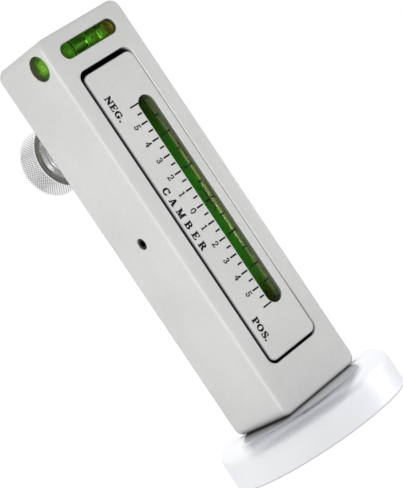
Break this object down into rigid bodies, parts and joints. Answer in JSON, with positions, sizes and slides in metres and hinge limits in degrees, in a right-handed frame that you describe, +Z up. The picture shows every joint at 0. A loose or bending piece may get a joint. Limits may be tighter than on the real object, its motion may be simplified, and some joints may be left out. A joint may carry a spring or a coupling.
{
  "type": "camber gauge",
  "caption": "Upright camber gauge on a round magnet, with a trimmed scale carrier, a long scale vial and a small cross level.",
  "frame": {"origin": "middle of the magnet's lower face, where it sits on the wheel hub or the table", "axes": "+Z up along the block, -Y out of the scale, +X to the right of someone who reads the scale"},
  "size_m": [0.06, 0.068, 0.145],
  "materials": {
    "painted_body": "satin light grey paint",
    "clear_tube": "polished clear",
    "green_liquid": "clear green liquid",
    "bubble": "air bubble",
    "black_plastic": "matte",
    "steel": "turned",
    "black_steel": "black oxide",
    "brass": "turned",
    "chrome": "bright chrome",
    "plated_cup": "bright nickel plate",
    "magnet": "dark ferrite",
    "resin": "cast resin"
  },
  "bodies": {
    "housing_body": {"housing": "painted_body", "level_vial_tube": "clear_tube", "level_vial_stopper": "clear_tube", "level_vial_liquid": "green_liquid", "pivot_pin": "steel", "pivot_set_screw": "black_steel", "screw_bushing": "brass", "return_spring": "steel", "magnet_cup": "plated_cup", "ring_magnet": "magnet", "outer_resin_ring": "resin", "inner_resin_ring": "resin", "magnet_screw": "black_steel", "lock_washer": "steel"},
    "carrier": {"scale_carrier": "painted_body", "carrier_plug": "black_plastic", "camber_vial_tube": "clear_tube", "camber_vial_stopper": "black_plastic", "camber_vial_liquid": "green_liquid"},
    "feed": {"thrust_pad": "brass"},
    "adjuster": {"adjuster_screw": "steel", "adjuster_knob": "chrome"},
    "camber_bubble": {"camber_vial_bubble": "bubble"},
    "level_bubble": {"level_vial_bubble": "bubble"}
  },
  "joints": [
    {"name": "screw_feed", "type": "slide", "parent": "housing_body", "child": "feed", "axis": [0, -1, 0], "range_m": [-0.00151, 0.00151]},
    {"name": "knob_turn", "type": "hinge", "parent": "feed", "child": "adjuster", "pos_m": [0, 0.01285, 0.11485], "axis": [0, -1, 0], "range_deg": [-540, 540]},
    {"name": "carrier_tilt", "type": "hinge", "parent": "housing_body", "child": "carrier", "pos_m": [0, -0.00105, 0.0787], "axis": [1, 0, 0], "range_deg": [-2.39, 2.39], "deforming": ["return_spring"]},
    {"name": "camber_reading", "type": "hinge", "parent": "carrier", "child": "camber_bubble", "pos_m": [0.0043, 0.32714, 0.0787], "axis": [1, 0, 0], "range_deg": [-6, 6]},
    {"name": "level_bubble_travel", "type": "slide", "parent": "housing_body", "child": "level_bubble", "axis": [1, 0, 0], "range_m": [-0.0026, 0.0062]}
  ],
  "couplings": [
    {"joint": "screw_feed", "follows": "knob_turn", "m_per_rad": 0.00015915},
    {"joint": "carrier_tilt", "follows": "knob_turn", "ratio": 0.0044026}
  ]
}
